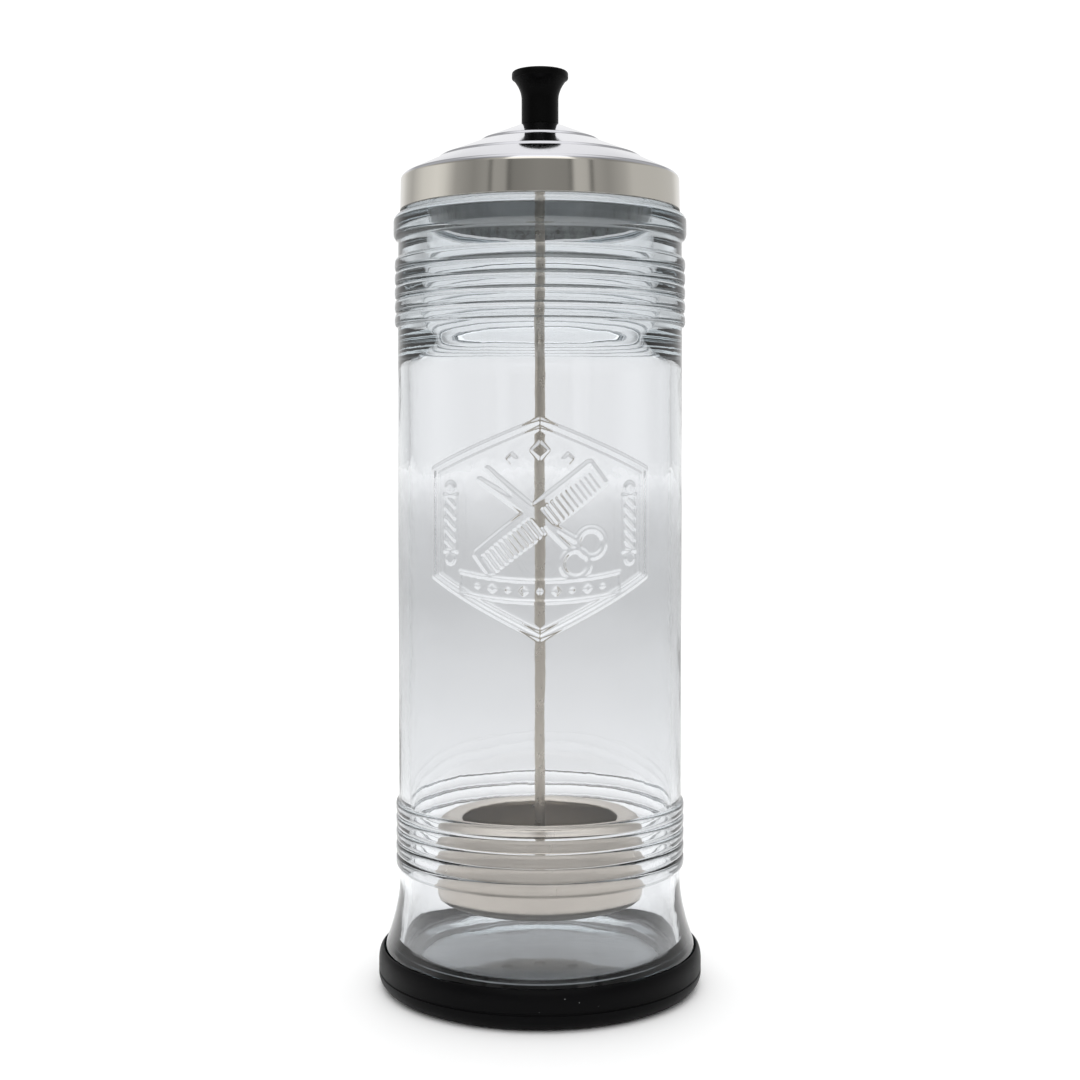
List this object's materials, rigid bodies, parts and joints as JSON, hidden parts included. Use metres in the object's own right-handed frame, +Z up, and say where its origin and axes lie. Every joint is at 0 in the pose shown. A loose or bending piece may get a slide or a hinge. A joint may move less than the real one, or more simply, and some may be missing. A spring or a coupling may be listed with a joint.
{
  "type": "disinfectant jar",
  "caption": "Tall ribbed glass salon disinfectant jar in a black base boot, with a stepped steel lid and a tool basket hanging from it on a knobbed pull rod.",
  "frame": {"origin": "on the surface the jar stands on, on the jar's axis", "axes": "+Z up along the jar's axis from the base towards the knob; +X to the right seen from the front, +Y away from the front"},
  "size_m": [0.0996, 0.0996, 0.2816],
  "materials": {
    "glass": "clear pressed soda glass, slightly blue, gloss",
    "boot": "satin black soft moulding",
    "lid": "bright polished top, fine brushed skirt",
    "hardware": "satin",
    "knob": "satin black moulding",
    "insert": "turned",
    "rod": "drawn",
    "basket": "fine brushed"
  },
  "bodies": {
    "jar": {"glass_jar": "glass", "base_boot": "boot"},
    "lid": {"lid_cover": "lid"},
    "hanger": {"knob": "knob", "knob_insert": "insert", "pull_rod": "rod", "lid_washer": "hardware", "lid_nut": "hardware", "basket_cup": "basket", "basket_top_washer": "hardware", "basket_top_nut": "hardware", "basket_bottom_washer": "hardware", "basket_bottom_nut": "hardware"}
  },
  "joints": [
    {"name": "lid_lift", "type": "slide", "parent": "jar", "child": "lid", "axis": [0, 0, 1], "range_m": [0, 0.24]},
    {"name": "rod_turn", "type": "hinge", "parent": "lid", "child": "hanger", "pos_m": [0, 0, 0.2645], "axis": [0, 0, 1], "continuous": true}
  ]
}
